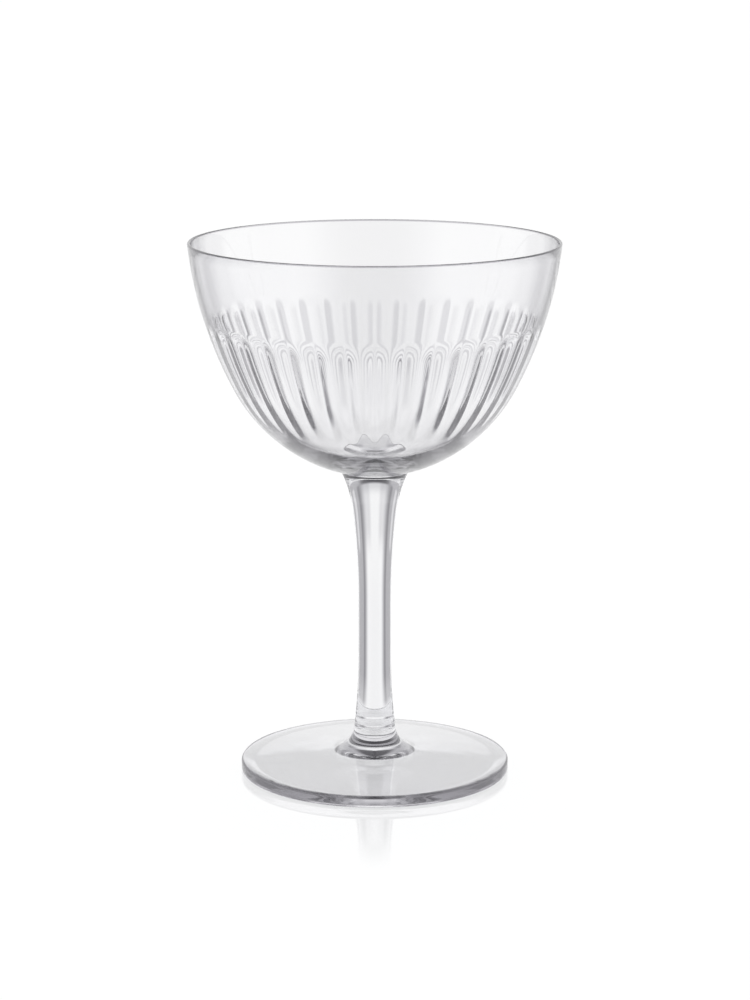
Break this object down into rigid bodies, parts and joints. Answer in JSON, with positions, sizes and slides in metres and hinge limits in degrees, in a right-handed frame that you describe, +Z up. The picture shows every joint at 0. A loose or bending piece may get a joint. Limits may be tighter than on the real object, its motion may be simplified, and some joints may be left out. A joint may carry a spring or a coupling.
{
  "type": "footed ice cream glass",
  "caption": "Clear footed glass for ice cream or cocktails: wide round bowl fluted on the inside, slender waisted stem that flares into the bowl, and a flat round foot.",
  "frame": {"origin": "on the table under the middle of the foot, on the glass's axis", "axes": "+Z up along the axis from the foot to the rim, +X to the right and -Y to the front as seen in the picture; a rib between two flutes faces the front"},
  "size_m": [0.0971, 0.097, 0.142],
  "materials": {
    "clear_glass": "clear fire-polished glass, smooth, with a very faint cool tint where it is thick"
  },
  "bodies": {
    "root": {"bowl": "clear_glass", "stem": "clear_glass", "foot": "clear_glass"}
  },
  "joints": []
}
